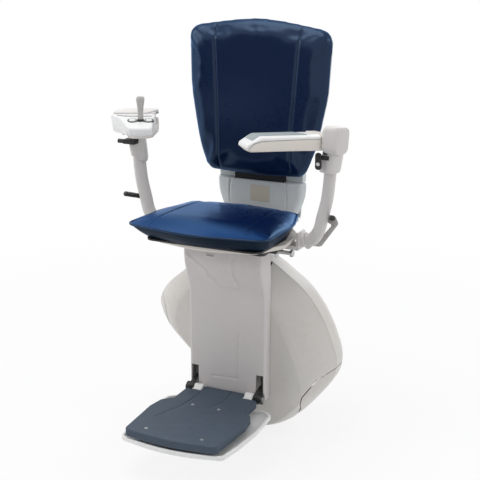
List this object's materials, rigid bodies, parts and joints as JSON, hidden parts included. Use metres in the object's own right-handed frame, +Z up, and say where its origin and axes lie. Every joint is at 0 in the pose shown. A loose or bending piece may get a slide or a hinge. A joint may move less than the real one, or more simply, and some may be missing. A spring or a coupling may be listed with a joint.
{
  "type": "stairlift chair",
  "caption": "Padded stairlift seat on a rail carriage, with a swivelling seat, fold-up armrests, joystick control and fold-up footrest.",
  "frame": {"origin": "on the axis of the rail tube, midway between the two guide shoes", "axes": "+X to the sitter's left along the rail, +Y away from the sitter's view towards the rail side, +Z up"},
  "size_m": [0.6142, 0.5991, 1.0445],
  "materials": {
    "shell_white": "satin moulding",
    "shell_grey": "satin moulding",
    "arm_paint": "powder coat",
    "navy_vinyl": "glossy upholstery vinyl",
    "slate_rubber": "matt",
    "white_paint": "powder coat",
    "black_steel": "satin",
    "bare_steel": "machined",
    "cast_alloy": "cast",
    "black_plastic": "fine texture",
    "black_gloss": "glossy",
    "grey_soft": "soft touch",
    "black_rubber": "matt",
    "board_green": "lacquer",
    "contact_brass": "bare",
    "nylon": "bare"
  },
  "bodies": {
    "carriage": {"chassis_plate": "black_steel", "guide_shoes": "cast_alloy", "roller_axles": "bare_steel", "gearbox": "cast_alloy", "drive_motor": "black_steel", "batteries": "black_plastic", "control_board": "board_green", "charge_contacts": "contact_brass", "chassis_screws": "bare_steel", "housing_front": "shell_white", "housing_shell": "shell_white", "leg_panel": "shell_white", "leg_frame": "black_steel", "footrest_pins": "bare_steel", "swivel_post": "bare_steel", "thrust_washer": "nylon", "index_plate": "bare_steel"},
    "pinion_shaft": {"drive_pinion": "bare_steel"},
    "roller_left": {"guide_roller_left": "nylon"},
    "roller_right": {"guide_roller_right": "nylon"},
    "cover_left": {"safety_cover_left": "shell_white"},
    "cover_right": {"safety_cover_right": "shell_white"},
    "footrest": {"footrest_plate": "slate_rubber", "footrest_arms": "white_paint"},
    "sensing_tray": {"footrest_tray": "white_paint"},
    "seat_frame": {"swivel_plate": "black_steel", "seat_tray": "shell_white", "tray_knobs": "bare_steel", "seat_pan": "black_steel", "seat_cushion": "navy_vinyl", "backrest_cushion": "navy_vinyl", "backrest_shell": "shell_grey", "back_frame": "black_steel", "column_front": "shell_grey", "column_rear": "shell_grey", "arm_tube_left": "arm_paint", "arm_tube_right": "arm_paint", "arm_collars": "arm_paint", "arm_sleeve_left": "arm_paint", "arm_sleeve_right": "arm_paint", "arm_pivot_pins": "bare_steel", "arm_stops": "black_rubber", "lever_pivots": "bare_steel", "belt_mounts": "black_plastic"},
    "swivel_latch": {"latch_plunger": "bare_steel"},
    "lever_left": {"lever_bar_left": "bare_steel", "lever_grip_left": "black_plastic"},
    "lever_right": {"lever_bar_right": "bare_steel", "lever_grip_right": "black_plastic"},
    "arm_left": {"armrest_left": "shell_white", "armrest_pad_left": "shell_white", "armrest_inlay_left": "grey_soft"},
    "arm_right": {"armrest_right": "shell_white", "armrest_pad_right": "shell_white", "control_head": "shell_white", "control_panel": "black_gloss"},
    "stick": {"joystick": "shell_white"},
    "button_inner": {"direction_button_inner": "shell_white"},
    "button_outer": {"direction_button_outer": "shell_white"},
    "belt": {"belt_tongue": "black_plastic"}
  },
  "joints": [
    {"name": "pinion_spin", "type": "hinge", "parent": "carriage", "child": "pinion_shaft", "pos_m": [0, -0.05, -0.072], "axis": [0, 1, 0], "continuous": true},
    {"name": "roller_spin_left", "type": "hinge", "parent": "carriage", "child": "roller_left", "pos_m": [0.055, 0, 0.0623], "axis": [0, 1, 0], "continuous": true},
    {"name": "roller_spin_right", "type": "hinge", "parent": "carriage", "child": "roller_right", "pos_m": [-0.055, 0, 0.0623], "axis": [0, 1, 0], "continuous": true},
    {"name": "safety_cover_left_push", "type": "slide", "parent": "carriage", "child": "cover_left", "axis": [-1, 0, 0], "range_m": [0, 0.002], "stiffness_N_per_m": 1500, "springref_m": -0.002},
    {"name": "safety_cover_right_push", "type": "slide", "parent": "carriage", "child": "cover_right", "axis": [1, 0, 0], "range_m": [0, 0.002], "stiffness_N_per_m": 1500, "springref_m": -0.002},
    {"name": "footrest_fold", "type": "hinge", "parent": "carriage", "child": "footrest", "pos_m": [0, -0.264, -0.1], "axis": [-1, 0, 0], "range_deg": [0, 80]},
    {"name": "footrest_tray_lift", "type": "slide", "parent": "footrest", "child": "sensing_tray", "axis": [0, 0, 1], "range_m": [0, 0.004], "stiffness_N_per_m": 600, "springref_m": -0.001},
    {"name": "seat_swivel", "type": "hinge", "parent": "carriage", "child": "seat_frame", "pos_m": [0, -0.222, 0.3], "axis": [0, 0, 1], "range_deg": [-80, 80]},
    {"name": "swivel_lever_left", "type": "hinge", "parent": "seat_frame", "child": "lever_left", "pos_m": [0.205, -0.194, 0.306], "axis": [0, 1, 0], "range_deg": [0, 12], "stiffness_Nm_per_rad": 1.2, "springref_deg": -11.46},
    {"name": "swivel_lever_right", "type": "hinge", "parent": "seat_frame", "child": "lever_right", "pos_m": [-0.205, -0.194, 0.306], "axis": [0, -1, 0], "range_deg": [0, 12], "stiffness_Nm_per_rad": 1.2, "springref_deg": -11.46},
    {"name": "latch_lift", "type": "slide", "parent": "seat_frame", "child": "swivel_latch", "axis": [0, 0, 1], "range_m": [0, 0.006]},
    {"name": "armrest_fold_left", "type": "hinge", "parent": "seat_frame", "child": "arm_left", "pos_m": [0.23478, -0.22237, 0.5669], "axis": [-0.9026, 0.4305, 0], "range_deg": [0, 85]},
    {"name": "armrest_fold_right", "type": "hinge", "parent": "seat_frame", "child": "arm_right", "pos_m": [-0.23478, -0.22237, 0.5669], "axis": [-0.9026, -0.4305, 0], "range_deg": [0, 85]},
    {"name": "joystick_tilt", "type": "hinge", "parent": "arm_right", "child": "stick", "pos_m": [-0.15048, -0.3991, 0.61504], "axis": [0.4277, -0.8968, 0.1132], "range_deg": [-12, 12], "stiffness_Nm_per_rad": 0.4},
    {"name": "button_inner_press", "type": "slide", "parent": "arm_right", "child": "button_inner", "axis": [-0.096, 0.2013, -0.9748], "range_m": [0, 0.0012], "stiffness_N_per_m": 400, "springref_m": -0.0005},
    {"name": "button_outer_press", "type": "slide", "parent": "arm_right", "child": "button_outer", "axis": [-0.096, 0.2013, -0.9748], "range_m": [0, 0.0012], "stiffness_N_per_m": 400, "springref_m": -0.0005},
    {"name": "belt_tongue_swing", "type": "hinge", "parent": "seat_frame", "child": "belt", "pos_m": [0.2385, -0.248, 0.533], "axis": [0, 1, 0], "range_deg": [-15, 30]}
  ],
  "couplings": [
    {"joint": "latch_lift", "follows": "swivel_lever_left", "m_per_rad": 0.02817}
  ]
}
